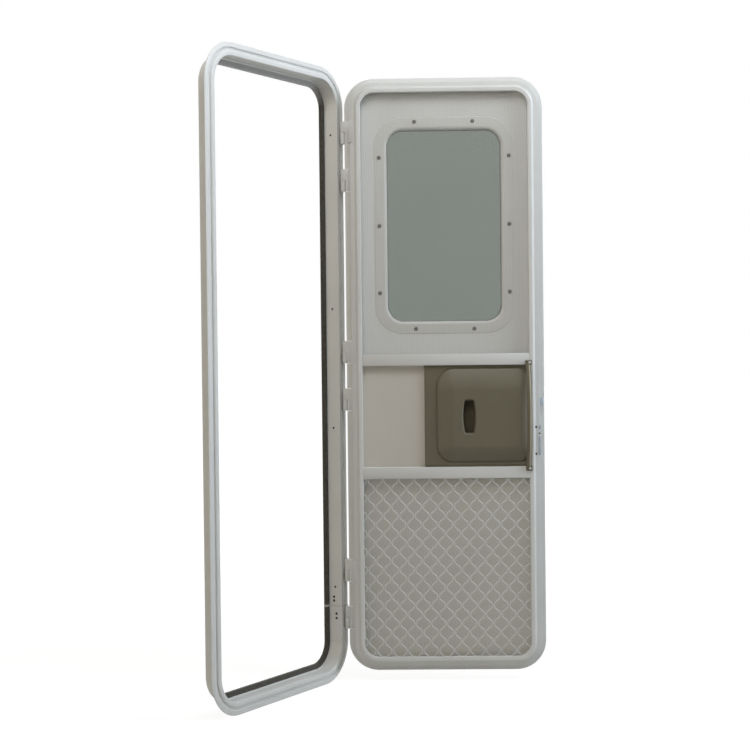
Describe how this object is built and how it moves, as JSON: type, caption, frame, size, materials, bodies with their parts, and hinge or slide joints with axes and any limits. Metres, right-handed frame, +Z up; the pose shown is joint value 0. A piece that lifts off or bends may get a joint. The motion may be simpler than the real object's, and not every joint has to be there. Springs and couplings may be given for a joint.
{
  "type": "caravan entry door",
  "caption": "Caravan entry door set: bent aluminium jamb, solid windowed leaf and screen leaf with diamond grille and slider on one hinge line, shown open.",
  "frame": {"origin": "on the back face of the wall flange, middle of its bottom run", "axes": "+Z up along the hinge line, +Y into the vehicle through the wall, +X to the hinge side seen from outside"},
  "size_m": [0.9849, 0.6083, 1.927],
  "materials": {
    "powder_coat": "satin white powder coat",
    "bare_aluminium": "brushed",
    "pile": "dense woven pile",
    "zinc_steel": "zinc plated",
    "olive_plastic": "satin moulded",
    "fly_mesh": "woven mesh",
    "foam": "closed cell foam",
    "grey_plastic": "satin moulded",
    "tinted_acrylic": "smooth",
    "black_plastic": "fine grain"
  },
  "bodies": {
    "frame": {"jamb_frame": "powder_coat", "pile_strip": "pile", "joint_plate": "bare_aluminium", "strike_plate": "zinc_steel", "frame_hinge_upper_screen": "powder_coat", "frame_hinge_middle_screen": "powder_coat", "frame_hinge_lower_screen": "powder_coat", "frame_hinge_upper_main": "powder_coat", "frame_hinge_middle_main": "powder_coat", "frame_hinge_lower_main": "powder_coat"},
    "screen_door": {"screen_frame": "powder_coat", "upper_rail": "powder_coat", "lower_rail": "powder_coat", "upper_mesh": "fly_mesh", "lower_mesh": "fly_mesh", "diamond_grille": "powder_coat", "fixed_panel": "powder_coat", "pull_handle": "olive_plastic", "screen_forend": "zinc_steel", "screen_hinge_upper": "powder_coat", "screen_hinge_middle": "powder_coat", "screen_hinge_lower": "powder_coat"},
    "main_door": {"edge_trim": "powder_coat", "outer_skin": "powder_coat", "foam_core": "foam", "inner_skin": "powder_coat", "window_outer_frame": "grey_plastic", "window_pane": "tinted_acrylic", "window_inner_ring": "grey_plastic", "lock_case": "zinc_steel", "outer_handle": "black_plastic", "inner_lock_plate": "black_plastic", "main_hinge_upper": "powder_coat", "main_hinge_middle": "powder_coat", "main_hinge_lower": "powder_coat"},
    "slider": {"slider_panel": "olive_plastic"},
    "latch": {"latch_bolt": "zinc_steel"}
  },
  "joints": [
    {"name": "screen_door_hinge", "type": "hinge", "parent": "frame", "child": "screen_door", "pos_m": [0.316, -0.019, 0.949], "axis": [0, 0, 1], "range_deg": [-122, 0]},
    {"name": "main_door_hinge", "type": "hinge", "parent": "screen_door", "child": "main_door", "pos_m": [0.316, -0.019, 0.949], "axis": [0, 0, 1], "range_deg": [0, 58]},
    {"name": "slider_slide", "type": "slide", "parent": "screen_door", "child": "slider", "axis": [-0.5299, 0.848, 0], "range_m": [0, 0.185]},
    {"name": "latch_slide", "type": "slide", "parent": "main_door", "child": "latch", "axis": [-0.5299, 0.848, 0], "range_m": [0, 0.01], "stiffness_N_per_m": 400, "springref_m": -0.004}
  ]
}
